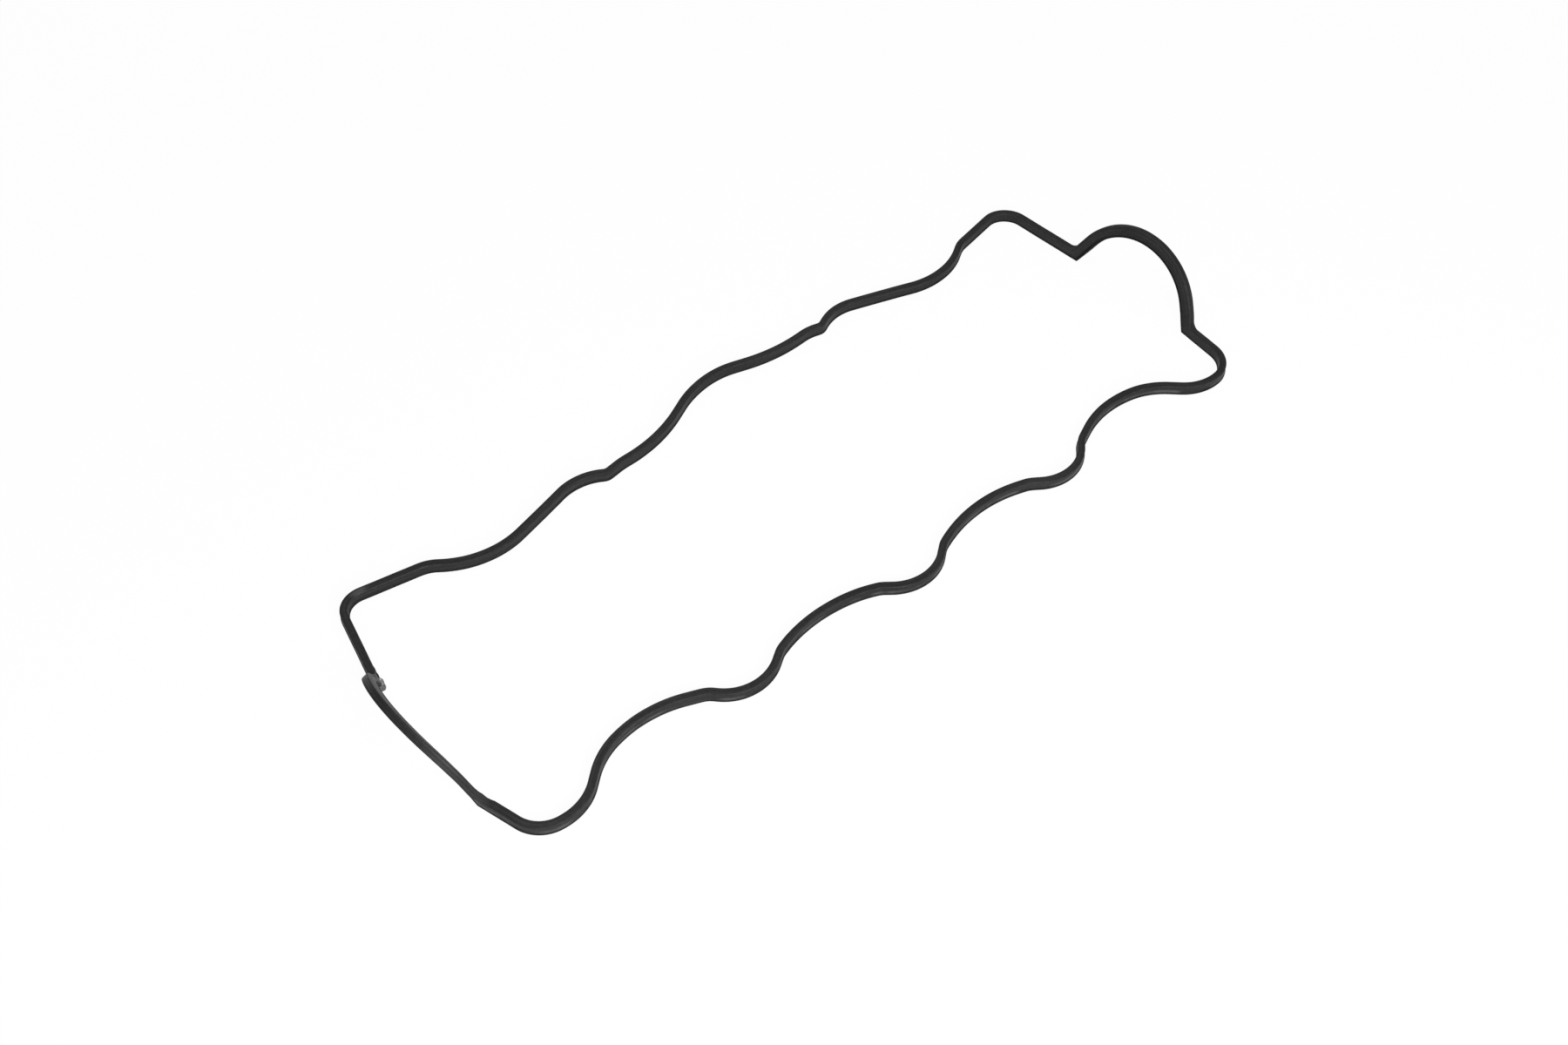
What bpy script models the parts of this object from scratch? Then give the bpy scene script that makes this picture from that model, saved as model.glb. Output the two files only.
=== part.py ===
"""Valve cover gasket of a four-cylinder engine: one moulded rubber strip that closes on itself.

The strip runs round the rim of the valve cover. Its front side bends round the four spark plug
wells, with a lobe for a cover bolt between each two. Its back side bulges in the middle and dips
at two studs. At each end it climbs over a half-moon, where the cover passes the round plug that
closes the camshaft's bore.

Sizes are in millimetres and the model is in metres. X runs along the engine, Y from the plug
side to the back and Z up. The gasket lies flat and relaxed, as it comes out of its bag, so it
is a little skewed and its half-moons lean outwards. The origin is the middle of its footprint.
"""
import math
from typing import NamedTuple

import bmesh
import bpy
from mathutils import Vector

MM = 0.001
UP = Vector((0.0, 0.0, 1.0))
GASKET_NAME = "valve_cover_gasket"


class Corner(NamedTuple):
    """A corner of the outline in plan, in millimetres, and the radius that rounds it."""

    x: float
    y: float
    radius: float


# Strip, upright in section, with a sealing lip along each lower edge
STRIP_WIDTH = 3.0
STRIP_HEIGHT = 4.8
LIP_REACH = 0.3
LIP_HEIGHT = 1.1
TOP_EDGE_ROUND = 0.5
BOTTOM_EDGE_BEVEL = 0.25

# Main sizes of the outline as moulded, from its middle
WELL_PITCH = 84.0
END_MARGIN = 67.0
FRONT_REACH = 67.3
BACK_REACH = 89.1
STUD_REACH = 63.8
SIDE_WELL = WELL_PITCH / 2
END_WELL = 1.5 * WELL_PITCH
END_LINE = END_WELL + END_MARGIN

# Half-moons, each a round between two straight legs, leaning outwards from its feet. The left one
# droops further outwards over its height, because the soft rubber gives way
HALF_MOON_SPAN = 65.8
HALF_MOON_MIDDLE = 3.9
HALF_MOON_RADIUS = 30.4
HALF_MOON_HEIGHT = 5.6
HALF_MOON_LEG_ANGLE = math.radians(61.8)
RIGHT_LEAN = math.radians(13.6)
RIGHT_DROOP = 0.0
LEFT_LEAN = math.radians(11.1)
LEFT_DROOP = math.radians(15.6)
FOOT_FILLET = 4.5
ROLL_LENGTH = 9.0

# Front side, right half: plug wells one pitch apart and the bolt lobes between them
MIDDLE_LOBE = Corner(0.0, -FRONT_REACH, 21.8)
MIDDLE_LOBE_FLANK = Corner(17.3, 13.8 - FRONT_REACH, 12.1)
SIDE_WELL_CREST = Corner(SIDE_WELL, 24.1 - FRONT_REACH, 66.8)
SIDE_LOBE_INNER_FLANK = Corner(WELL_PITCH - 15.1, 15.5 - FRONT_REACH, 12.4)
SIDE_LOBE = Corner(WELL_PITCH + 4.5, 2.0 - FRONT_REACH, 21.1)
SIDE_LOBE_OUTER_FLANK = Corner(WELL_PITCH + 19.2, 18.1 - FRONT_REACH, 12.9)
END_WELL_CREST = Corner(END_WELL, 27.9 - FRONT_REACH, 50.5)
FRONT_SHOULDER = Corner(END_WELL + 25.2, 22.3 - FRONT_REACH, 33.8)
FRONT_END_BEND = Corner(END_WELL + 43.0, 5.9 - FRONT_REACH, 22.9)
FRONT_CORNER = Corner(END_LINE - 2.7, 7.8 - FRONT_REACH, 14.3)
FRONT_FOOT = Corner(END_LINE, HALF_MOON_MIDDLE - HALF_MOON_SPAN / 2, 0.0)

# Back side, right half: from the half-moon round the corner and the stud to the middle bulge
BACK_FOOT = Corner(END_LINE - 1.5, HALF_MOON_MIDDLE + HALF_MOON_SPAN / 2, 0.0)
BACK_CORNER = Corner(END_LINE - 5.2, BACK_REACH - 3.0, 10.5)
BACK_SHOULDER = Corner(END_WELL + 26.0, BACK_REACH - 12.6, 16.2)
BACK_VALLEY = Corner(END_WELL + 6.1, BACK_REACH - 26.6, 39.8)
STUD_CREST = Corner(STUD_REACH + 11.3, BACK_REACH - 10.5, 25.7)
STUD_NOTCH = Corner(STUD_REACH, BACK_REACH - 16.2, 4.5)
STUD_INNER_CREST = Corner(STUD_REACH - 6.2, BACK_REACH - 14.2, 25.6)
BULGE_VALLEY = Corner(36.6, BACK_REACH - 14.9, 74.9)
BULGE = Corner(0.0, BACK_REACH, 43.4)

# How far the soft left end lies from the mirror image of the right one, in x and y
LEFT_SHIFTS = {
    FRONT_END_BEND: (0.3, 0.8),
    FRONT_CORNER: (1.4, 0.5),
    FRONT_FOOT: (-4.0, -3.4),
    BACK_FOOT: (-7.7, -1.8),
    BACK_CORNER: (-2.4, -5.6),
    STUD_CREST: (-1.8, 2.7),
    STUD_NOTCH: (-2.2, 0.9),
}

# How the relaxed back side sways against the front one
SWAY_HALF_SPAN = 186.4
SWAY_START_Y = -50.0
SWAY_FULL_Y = 75.0
SWAY_LIMIT = 1.2
BACK_SWAY = 5.5
BACK_SWAY_SECOND = 0.9
BACK_BOW = -0.7

# Fineness of the faceted surface
ARC_SAG = 0.05
ARC_STEP_LIMIT = math.radians(12.0)
STRAIGHT_STEP = 12.0
FILLET_SHARE = 0.98
FOOT_ARC_SHARES = (0.25, 0.5, 0.75)
SHARP_EDGE_ANGLE = math.radians(40.0)

RUBBER_COLOUR = (0.030, 0.030, 0.032, 1.0)
RUBBER_ROUGHNESS = 0.62


class Ring(NamedTuple):
    """One cross-section of the strip: its middle at the bottom and top, and its outward side."""

    bottom: Vector
    top: Vector
    outward: Vector


def mirrored(corner):
    """Return the left end's counterpart of a corner, shifted to where it lies."""
    shift_x, shift_y = LEFT_SHIFTS.get(corner, (0.0, 0.0))
    return Corner(shift_x - corner.x, corner.y + shift_y, corner.radius)


def front_corners():
    """Return the front side's corners, from the left half-moon to the right one."""
    right = [
        MIDDLE_LOBE_FLANK,
        SIDE_WELL_CREST,
        SIDE_LOBE_INNER_FLANK,
        SIDE_LOBE,
        SIDE_LOBE_OUTER_FLANK,
        END_WELL_CREST,
        FRONT_SHOULDER,
        FRONT_END_BEND,
        FRONT_CORNER,
        FRONT_FOOT,
    ]
    left = [mirrored(corner) for corner in reversed(right)]
    return left + [MIDDLE_LOBE] + right


def back_corners():
    """Return the back side's corners, from the right half-moon to the left one."""
    right = [
        BACK_FOOT,
        BACK_CORNER,
        BACK_SHOULDER,
        BACK_VALLEY,
        STUD_CREST,
        STUD_NOTCH,
        STUD_INNER_CREST,
        BULGE_VALLEY,
    ]
    left = [mirrored(corner) for corner in reversed(right)]
    return right + [BULGE] + left


def turn_at(before, corner, after):
    """Return the angle by which a path turns at a corner."""
    return (corner - before).angle(after - corner)


def fitted_radii(points, radii):
    """Return the corner radii, made smaller where two rounds would not fit on their stretch."""
    reaches = [0.0] * len(points)
    for i in range(1, len(points) - 1):
        reaches[i] = radii[i] * math.tan(turn_at(points[i - 1], points[i], points[i + 1]) / 2)
    shares = [1.0] * len(points)
    for i in range(len(points) - 1):
        room = FILLET_SHARE * (points[i + 1] - points[i]).length
        need = reaches[i] + reaches[i + 1]
        if need > room:
            shares[i] = min(shares[i], room / need)
            shares[i + 1] = min(shares[i + 1], room / need)
    return [radius * share for radius, share in zip(radii, shares)]


def arc_steps(radius, turn):
    """Return how many straight facets a round needs."""
    by_sag = 2 * math.acos(max(-1.0, 1 - ARC_SAG / max(radius, ARC_SAG)))
    return max(2, math.ceil(turn / min(by_sag, ARC_STEP_LIMIT)))


def rounded_corner(before, corner, after, radius):
    """Return the points of the arc that rounds one corner of a path."""
    incoming = (corner - before).normalized()
    outgoing = (after - corner).normalized()
    turn = incoming.angle(outgoing)
    start = corner - incoming * radius * math.tan(turn / 2)
    inward = (outgoing - incoming * incoming.dot(outgoing)).normalized()
    centre = start + inward * radius
    steps = arc_steps(radius, turn)
    points = []
    for i in range(steps + 1):
        angle = turn * i / steps
        offset = incoming * math.sin(angle) - inward * math.cos(angle)
        points.append(centre + offset * radius)
    return points


def rounded_path(points, radii):
    """Return a path through sharp ends and rounded corners."""
    fitted = fitted_radii(points, radii)
    path = [points[0]]
    for i in range(1, len(points) - 1):
        path += rounded_corner(points[i - 1], points[i], points[i + 1], fitted[i])
    path.append(points[-1])
    return path


def divided(path):
    """Return a path whose long stretches have points in between, so that they can bend."""
    points = [path[0]]
    for start, end in zip(path, path[1:]):
        steps = max(1, math.ceil((end - start).length / STRAIGHT_STEP))
        points += [start.lerp(end, i / steps) for i in range(1, steps + 1)]
    return points


def relaxed(point):
    """Return where a point of the moulded outline comes to lie."""
    weight = (point.y - SWAY_START_Y) / (SWAY_FULL_Y - SWAY_START_Y)
    weight = min(max(weight, 0.0), SWAY_LIMIT)
    phase = math.pi * point.x / SWAY_HALF_SPAN
    sway = BACK_SWAY * math.sin(phase) + BACK_SWAY_SECOND * math.sin(2 * phase)
    bow = BACK_BOW * math.cos(phase / 2)
    return Vector((point.x, point.y + weight * (sway + bow), 0.0))


def flat_path(corners):
    """Return the ground line of a flat side, as it lies."""
    points = [Vector((corner.x, corner.y, 0.0)) for corner in corners]
    path = rounded_path(points, [corner.radius for corner in corners])
    return [relaxed(point) for point in divided(path)]


def leaning(side, lean):
    """Return the direction that rises from a line at a lean to its outward side."""
    return UP * math.cos(lean) + side.cross(UP) * math.sin(lean)


def half_moon_path(foot, far_foot, lean, droop):
    """Return the lower line of a half-moon, and its outward normal at each point."""
    half_span = (far_foot - foot).length / 2
    side = (far_foot - foot).normalized()
    apex = Vector((half_span, 0.0, half_span * math.tan(HALF_MOON_LEG_ANGLE)))
    corners = [Vector((0.0, 0.0, 0.0)), apex, Vector((half_span * 2, 0.0, 0.0))]
    path = []
    normals = []
    for point in divided(rounded_path(corners, [0.0, HALF_MOON_RADIUS, 0.0])):
        bend = droop * point.z / half_span
        rise = leaning(side, lean + bend / 2)
        path.append(foot + side * point.x + rise * point.z)
        normals.append(side.cross(leaning(side, lean + bend)))
    return path, normals


def path_direction(path, i):
    """Return the direction of travel at a point of a path."""
    before = path[max(i - 1, 0)]
    after = path[min(i + 1, len(path) - 1)]
    return (after - before).normalized()


def mitre_shares(first_side, second_side, first_height, second_height):
    """Return the shares of two unit sides whose sum reaches both of their heights."""
    overlap = first_side.dot(second_side)
    scale = 1 - overlap * overlap
    first_share = (first_height - overlap * second_height) / scale
    second_share = (second_height - overlap * first_height) / scale
    return first_share, second_share


def foot_setbacks(turn):
    """Return how far from a sharp foot its bend ends, on the flat side and on the half-moon."""
    leaning = Vector((-math.sin(turn), 0.0, math.cos(turn)))
    flat_share, moon_share = mitre_shares(UP, leaning, STRIP_HEIGHT, HALF_MOON_HEIGHT)
    fillet = FOOT_FILLET * math.tan(turn / 2)
    return moon_share * math.sin(turn) + fillet, flat_share * math.sin(turn) + fillet


def set_back(path, distance):
    """Return a path whose ends stop a distance short."""
    start = path[0] + (path[1] - path[0]).normalized() * distance
    end = path[-1] + (path[-2] - path[-1]).normalized() * distance
    return [start] + path[1:-1] + [end]


def flat_rings(path, setback):
    """Return the upright rings of a flat side between its two feet."""
    stretch = set_back(path, setback)
    rings = []
    for i, point in enumerate(stretch):
        outward = path_direction(stretch, i).cross(UP)
        rings.append(Ring(point, point + UP * STRIP_HEIGHT, outward))
    return rings


def half_moon_rings(path, normals, start_outward, end_outward, setback):
    """Return the rings of a half-moon between its two feet, rolled from the flat sides' rings."""
    stretch = set_back(path, setback)
    rings = []
    for i, (point, normal) in enumerate(zip(stretch, normals)):
        from_start = (point - path[0]).length
        from_end = (point - path[-1]).length
        flat_outward = start_outward if from_start < from_end else end_outward
        share = min(min(from_start, from_end) / ROLL_LENGTH, 1.0)
        direction = path_direction(stretch, i)
        outward = flat_outward.lerp(normal, share * share * (3 - 2 * share))
        outward = (outward - direction * outward.dot(direction)).normalized()
        upper = outward.cross(direction)
        rings.append(Ring(point, point + upper * HALF_MOON_HEIGHT, outward))
    return rings


def foot_rings(foot, before, after):
    """Return the rings of a foot: a sharp bend below and a small round on top."""
    flat = before if before.bottom.z < after.bottom.z else after
    rise_before = before.top - before.bottom
    rise_after = after.top - after.bottom
    side_before = rise_before.normalized()
    side_after = rise_after.normalized()
    heights = (rise_before.length, rise_after.length)
    share_before, share_after = mitre_shares(side_before, side_after, *heights)
    top_corner = foot + side_before * share_before + side_after * share_after
    arc = []
    for share in FOOT_ARC_SHARES:
        near = before.top.lerp(top_corner, share)
        far = top_corner.lerp(after.top, share)
        arc.append(near.lerp(far, share))
    below = [before.bottom.lerp(foot, 0.5), foot, foot.lerp(after.bottom, 0.5)]
    sides = [before.outward, flat.outward, after.outward]
    return [Ring(low, high, side) for low, high, side in zip(below, arc, sides)]


def gasket_rings():
    """Return every ring of the closed strip, once round from the left front foot."""
    front = flat_path(front_corners())
    back = flat_path(back_corners())
    right_moon, right_normals = half_moon_path(front[-1], back[0], RIGHT_LEAN, RIGHT_DROOP)
    left_moon, left_normals = half_moon_path(back[-1], front[0], LEFT_LEAN, LEFT_DROOP)
    flat_setback, moon_setback = foot_setbacks(turn_at(front[-2], front[-1], right_moon[1]))
    front_rings = flat_rings(front, flat_setback)
    back_rings = flat_rings(back, flat_setback)
    right_sides = (front_rings[-1].outward, back_rings[0].outward)
    left_sides = (back_rings[-1].outward, front_rings[0].outward)
    right_rings = half_moon_rings(right_moon, right_normals, *right_sides, moon_setback)
    left_rings = half_moon_rings(left_moon, left_normals, *left_sides, moon_setback)
    stretches = [front_rings, right_rings, back_rings, left_rings]
    feet = [front[-1], back[0], back[-1], front[0]]
    rings = []
    for i, (stretch, foot) in enumerate(zip(stretches, feet)):
        following = stretches[(i + 1) % len(stretches)]
        rings += stretch + foot_rings(foot, stretch[-1], following[0])
    return rings


def section_points():
    """Return the section's points, outward and upward, from the outer bottom edge round."""
    half = STRIP_WIDTH / 2
    outer = [
        (half + LIP_REACH - BOTTOM_EDGE_BEVEL, 0.0),
        (half + LIP_REACH, BOTTOM_EDGE_BEVEL),
        (half + LIP_REACH, LIP_HEIGHT - LIP_REACH),
        (half, LIP_HEIGHT),
        (half, STRIP_HEIGHT - TOP_EDGE_ROUND),
        (half - TOP_EDGE_ROUND, STRIP_HEIGHT),
    ]
    inner = [(-across, height) for across, height in reversed(outer)]
    return outer + inner


def ring_points(ring, section):
    """Return the section's points in a ring, which may be taller than the plain strip."""
    rise = (ring.top - ring.bottom) / STRIP_HEIGHT
    return [ring.bottom + ring.outward * across + rise * height for across, height in section]


def swept_strip():
    """Return the strip as a mesh in metres: its section carried once round all the rings."""
    section = section_points()
    shape = bmesh.new()
    loops = []
    for ring in gasket_rings():
        loops.append([shape.verts.new(point * MM) for point in ring_points(ring, section)])
    for loop, following in zip(loops, loops[1:] + loops[:1]):
        for j in range(len(section)):
            k = (j + 1) % len(section)
            shape.faces.new((loop[j], loop[k], following[k], following[j]))
    bmesh.ops.recalc_face_normals(shape, faces=shape.faces)
    return shape


def centre_footprint(shape):
    """Move a mesh so that the middle of its footprint is at the origin."""
    middle = Vector((0.0, 0.0, 0.0))
    for axis in (0, 1):
        reach = [vertex.co[axis] for vertex in shape.verts]
        middle[axis] = (min(reach) + max(reach)) / 2
    bmesh.ops.translate(shape, verts=shape.verts, vec=-middle)


def rubber():
    """Return the dark moulded rubber."""
    material = bpy.data.materials.new("rubber")
    material.use_nodes = True
    surface = material.node_tree.nodes["Principled BSDF"]
    surface.inputs["Base Color"].default_value = RUBBER_COLOUR
    surface.inputs["Roughness"].default_value = RUBBER_ROUGHNESS
    surface.inputs["Metallic"].default_value = 0.0
    return material


def build_gasket():
    """Build the gasket as one closed solid, its footprint centred on the origin."""
    shape = swept_strip()
    centre_footprint(shape)
    mesh = bpy.data.meshes.new(GASKET_NAME)
    shape.to_mesh(mesh)
    shape.free()
    mesh.shade_smooth()
    mesh.set_sharp_from_angle(angle=SHARP_EDGE_ANGLE)
    mesh.materials.append(rubber())
    gasket = bpy.data.objects.new(GASKET_NAME, mesh)
    bpy.context.collection.objects.link(gasket)
    return gasket


def clear_scene():
    """Remove whatever the scene holds."""
    for item in list(bpy.data.objects):
        bpy.data.objects.remove(item, do_unlink=True)


def main():
    """Build the gasket in an empty scene."""
    clear_scene()
    build_gasket()


if __name__ == "__main__":
    main()
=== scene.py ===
"""Dressed valve cover gasket: the moulded rubber strip, lying relaxed on a pale studio floor.

The strip's ground line is worked out here from the gasket's own sizes, in millimetres, ring by
ring. Geometry Nodes then carry the sealing section round the closed line of rings. The finished
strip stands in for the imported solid, which stays hidden for collision.
"""

import logging
import math
from dataclasses import dataclass, field
from enum import Enum
from typing import NamedTuple, Union

import bpy
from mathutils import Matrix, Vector

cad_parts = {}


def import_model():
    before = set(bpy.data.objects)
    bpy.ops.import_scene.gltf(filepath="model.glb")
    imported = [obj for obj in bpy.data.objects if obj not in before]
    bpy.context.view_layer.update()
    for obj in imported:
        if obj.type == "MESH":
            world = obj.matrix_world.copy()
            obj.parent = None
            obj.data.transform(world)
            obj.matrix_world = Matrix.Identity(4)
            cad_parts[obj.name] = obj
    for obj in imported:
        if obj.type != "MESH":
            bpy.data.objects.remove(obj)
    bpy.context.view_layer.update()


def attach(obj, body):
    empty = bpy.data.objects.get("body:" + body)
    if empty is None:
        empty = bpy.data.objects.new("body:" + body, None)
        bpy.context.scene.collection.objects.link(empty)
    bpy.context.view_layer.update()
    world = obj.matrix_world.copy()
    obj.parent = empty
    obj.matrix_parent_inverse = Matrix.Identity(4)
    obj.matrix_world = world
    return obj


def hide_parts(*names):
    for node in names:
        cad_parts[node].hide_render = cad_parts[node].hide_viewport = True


LOG = logging.getLogger("gasket")
MM = 0.001
UP = Vector((0.0, 0.0, 1.0))
CAD_NODE = "valve_cover_gasket"
BODY = "root"
WHITE = (1.0, 1.0, 1.0, 1.0)


class Attribute(Enum):
    """Names of the values that the rings and the finished surface carry."""

    RISE = "rise"
    OUTWARD = "outward"
    FLOW = "flow"
    INNER_LIP = "inner_lip"
    FLASH = "flash"
    SECTION = "section"


class Corner(NamedTuple):
    """A corner of the moulded outline in plan, in millimetres, and the radius that rounds it."""

    x: float
    y: float
    radius: float


class Ring(NamedTuple):
    """One cross-section: its middle at the bottom and top, and its outward side.

    It also says what share of the inner lip is left there, and how flash shifts that lip.
    """

    bottom: Vector
    top: Vector
    outward: Vector
    inner_lip: float = 1.0
    flash: Vector = Vector((0.0, 0.0, 0.0))


class Spot(NamedTuple):
    """A spot on the rubber: its middle in the frame and how far it reaches each way, in metres."""

    middle: tuple[float, float, float]
    reach: tuple[float, float, float]


class SectionPoint(NamedTuple):
    """A point of the section: millimetres outward, share of the height, share of the flash."""

    across: float
    height: float
    flash: float


class Band(NamedTuple):
    """The value at which something starts to show and the one at which it shows in full."""

    start: float
    end: float


class Noise(NamedTuple):
    """A pattern: its cells in a metre or unit, how fine it goes, and the values that show."""

    cells: float
    detail: float
    band: Band


Input = Union["Number", bpy.types.NodeSocket, float, int, str, tuple]


def eased(share: float) -> float:
    """Return a share from 0 to 1 that starts and ends gently."""
    return share * share * (3 - 2 * share)


class NodeGraph:
    """A node tree under construction, for a shader or for Geometry Nodes."""

    def __init__(self, tree: bpy.types.NodeTree) -> None:
        """Start on an empty tree.

        Args:
            tree: The tree that gets the nodes.
        """
        self.tree = tree
        self.tree.nodes.clear()

    def feed(self, socket: bpy.types.NodeSocket, value: Input) -> None:
        """Set an input socket, or link it where the value comes from another node.

        Args:
            socket: The input.
            value: A plain value, a socket or a number that varies.
        """
        if isinstance(value, Number):
            self.tree.links.new(value.socket, socket)
        elif isinstance(value, bpy.types.NodeSocket):
            self.tree.links.new(value, socket)
        else:
            socket.default_value = value

    def node(
        self, kind: str, settings: dict | None = None, inputs: dict | None = None
    ) -> bpy.types.Node:
        """Add a node.

        Args:
            kind: The node's type.
            settings: Its own settings by name, set before its inputs.
            inputs: Values or links by the socket's name or place.

        Returns:
            The new node.
        """
        made = self.tree.nodes.new(kind)
        for name, value in (settings or {}).items():
            setattr(made, name, value)
        for key, value in (inputs or {}).items():
            self.feed(made.inputs[key], value)
        return made

    def number(self, node: bpy.types.Node, output: str | int = 0) -> "Number":
        """Return a node's output as a number to reckon with.

        Args:
            node: The node.
            output: The output's name or place.

        Returns:
            The wrapped output.
        """
        return Number(self, node.outputs[output])

    def vector(self, operation: str, *values: Input) -> bpy.types.NodeSocket:
        """Return the outcome of a vector operation.

        Args:
            operation: The operation of a Vector Math node.
            values: Its inputs, in order.

        Returns:
            The output socket.
        """
        made = self.node("ShaderNodeVectorMath", {"operation": operation})
        for place, value in enumerate(values):
            key = "Scale" if operation == "SCALE" and place == 1 else place
            self.feed(made.inputs[key], value)
        return made.outputs[0]

    def combined(self, x: Input, y: Input, z: Input) -> bpy.types.NodeSocket:
        """Return a vector made of three numbers."""
        return self.node("ShaderNodeCombineXYZ", None, {0: x, 1: y, 2: z}).outputs[0]

    def separated(self, vector: bpy.types.NodeSocket) -> tuple["Number", "Number", "Number"]:
        """Return the three numbers of a vector."""
        made = self.node("ShaderNodeSeparateXYZ", None, {0: vector})
        return self.number(made, 0), self.number(made, 1), self.number(made, 2)


class Number:
    """A number that varies over the surface, which plain expressions turn into Math nodes."""

    def __init__(self, graph: NodeGraph, socket: bpy.types.NodeSocket) -> None:
        """Wrap an output socket.

        Args:
            graph: The tree that the socket belongs to.
            socket: The socket.
        """
        self.graph = graph
        self.socket = socket

    def reckon(self, operation: str, *values: Input) -> "Number":
        """Return the outcome of a Math node on some values."""
        made = self.graph.node("ShaderNodeMath", {"operation": operation}, dict(enumerate(values)))
        return Number(self.graph, made.outputs[0])

    def __add__(self, other: Input) -> "Number":
        """Return the sum."""
        return self.reckon("ADD", self, other)

    def __radd__(self, other: Input) -> "Number":
        """Return the sum with a plain number in front."""
        return self.reckon("ADD", other, self)

    def __sub__(self, other: Input) -> "Number":
        """Return the difference."""
        return self.reckon("SUBTRACT", self, other)

    def __rsub__(self, other: Input) -> "Number":
        """Return the difference from a plain number."""
        return self.reckon("SUBTRACT", other, self)

    def __mul__(self, other: Input) -> "Number":
        """Return the product."""
        return self.reckon("MULTIPLY", self, other)

    def __rmul__(self, other: Input) -> "Number":
        """Return the product with a plain number in front."""
        return self.reckon("MULTIPLY", other, self)

    def __truediv__(self, other: Input) -> "Number":
        """Return the quotient."""
        return self.reckon("DIVIDE", self, other)

    def __rtruediv__(self, other: Input) -> "Number":
        """Return the quotient of a plain number."""
        return self.reckon("DIVIDE", other, self)

    def __mod__(self, other: Input) -> "Number":
        """Return what is left after a whole division."""
        return self.reckon("MODULO", self, other)

    def floored(self) -> "Number":
        """Return the whole number below."""
        return self.reckon("FLOOR", self)

    def clamped(self, low: float, high: float) -> "Number":
        """Return the number, kept from a low value to a high one."""
        made = self.graph.node("ShaderNodeClamp", None, {0: self, 1: low, 2: high})
        return self.graph.number(made)

    def between(self, band: Band) -> "Number":
        """Return how far the number has come through a band.

        Args:
            band: The band.

        Returns:
            A number from 0 to 1, eased at both ends.
        """
        settings = {"interpolation_type": "SMOOTHSTEP", "clamp": True}
        inputs = {0: self, 1: band.start, 2: band.end, 3: 0.0, 4: 1.0}
        return self.graph.number(self.graph.node("ShaderNodeMapRange", settings, inputs))


@dataclass(frozen=True)
class StripSection:
    """The strip's section: an upright band with a sealing lip along each lower edge."""

    width: float = 3.2
    height: float = 4.8
    lip_reach: float = 0.25
    lip_height: float = 1.1
    top_round: float = 0.4
    foot_round: float = 0.25
    lip_round: float = 0.12
    round_steps: int = 5
    wall_steps: int = 4
    top_steps: int = 4
    crown: float = 0.06
    crown_from: float = 0.95
    bottom_share: float = 0.6

    def quarter(
        self, x: float, y: float, radius: float, start: float
    ) -> list[tuple[float, float]]:
        """Return a quarter round, from one direction to the next one to its left.

        Args:
            x: The centre's distance outward.
            y: The centre's height.
            radius: The round's radius.
            start: The direction of its first point from the centre, in degrees.

        Returns:
            Its points, outward and upward.
        """
        points = []
        for i in range(self.round_steps + 1):
            angle = math.radians(start + 90.0 * i / self.round_steps)
            points.append((x + radius * math.cos(angle), y + radius * math.sin(angle)))
        return points

    def outer_half(self) -> list[tuple[float, float]]:
        """Return the outer half's points, from the bottom up to the top face's middle.

        Returns:
            The points, outward and upward. The lip's round stops where its slope begins.
        """
        half = self.width / 2
        lip = half + self.lip_reach
        lip_top = self.lip_height - self.lip_reach
        points = [(0.0, 0.0), (half * self.bottom_share, 0.0)]
        points += self.quarter(lip - self.foot_round, self.foot_round, self.foot_round, -90.0)
        points += self.quarter(lip - self.lip_round, lip_top, self.lip_round, 0.0)[:-2]
        points.append((half, self.lip_height))
        wall_top = self.height - self.top_round
        for i in range(1, self.wall_steps):
            rise = (wall_top - self.lip_height) * i / self.wall_steps
            points.append((half, self.lip_height + rise))
        points += self.quarter(half - self.top_round, wall_top, self.top_round, 0.0)
        for i in range(1, self.top_steps):
            points.append(((half - self.top_round) * (1 - i / self.top_steps), self.height))
        return points

    def points(self) -> list[SectionPoint]:
        """Return the whole section.

        Returns:
            Its points, once round from the middle of its bottom.
        """
        outer = self.outer_half()
        inner = [(-across, height) for across, height in reversed(outer[1:])]
        drawn = outer + [(0.0, self.height)] + inner
        return [self.point(across, height) for across, height in drawn]

    def point(self, across: float, height: float) -> SectionPoint:
        """Return one point, with the top slightly crowned.

        Args:
            across: Its distance outward.
            height: Its height.

        Returns:
            The point. Flash moves it where it is on the inner lip or the inner underside.
        """
        on_lip = across < -self.width / 2 and height < self.lip_height
        below = across <= 0.0 and height <= 0.0
        crown = 0.0
        if height / self.height > self.crown_from:
            crown = self.crown * (1 - (2 * across / self.width) ** 2)
        flash = 1.0 if on_lip or below else 0.0
        return SectionPoint(across, (height + crown) / self.height, flash)


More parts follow.
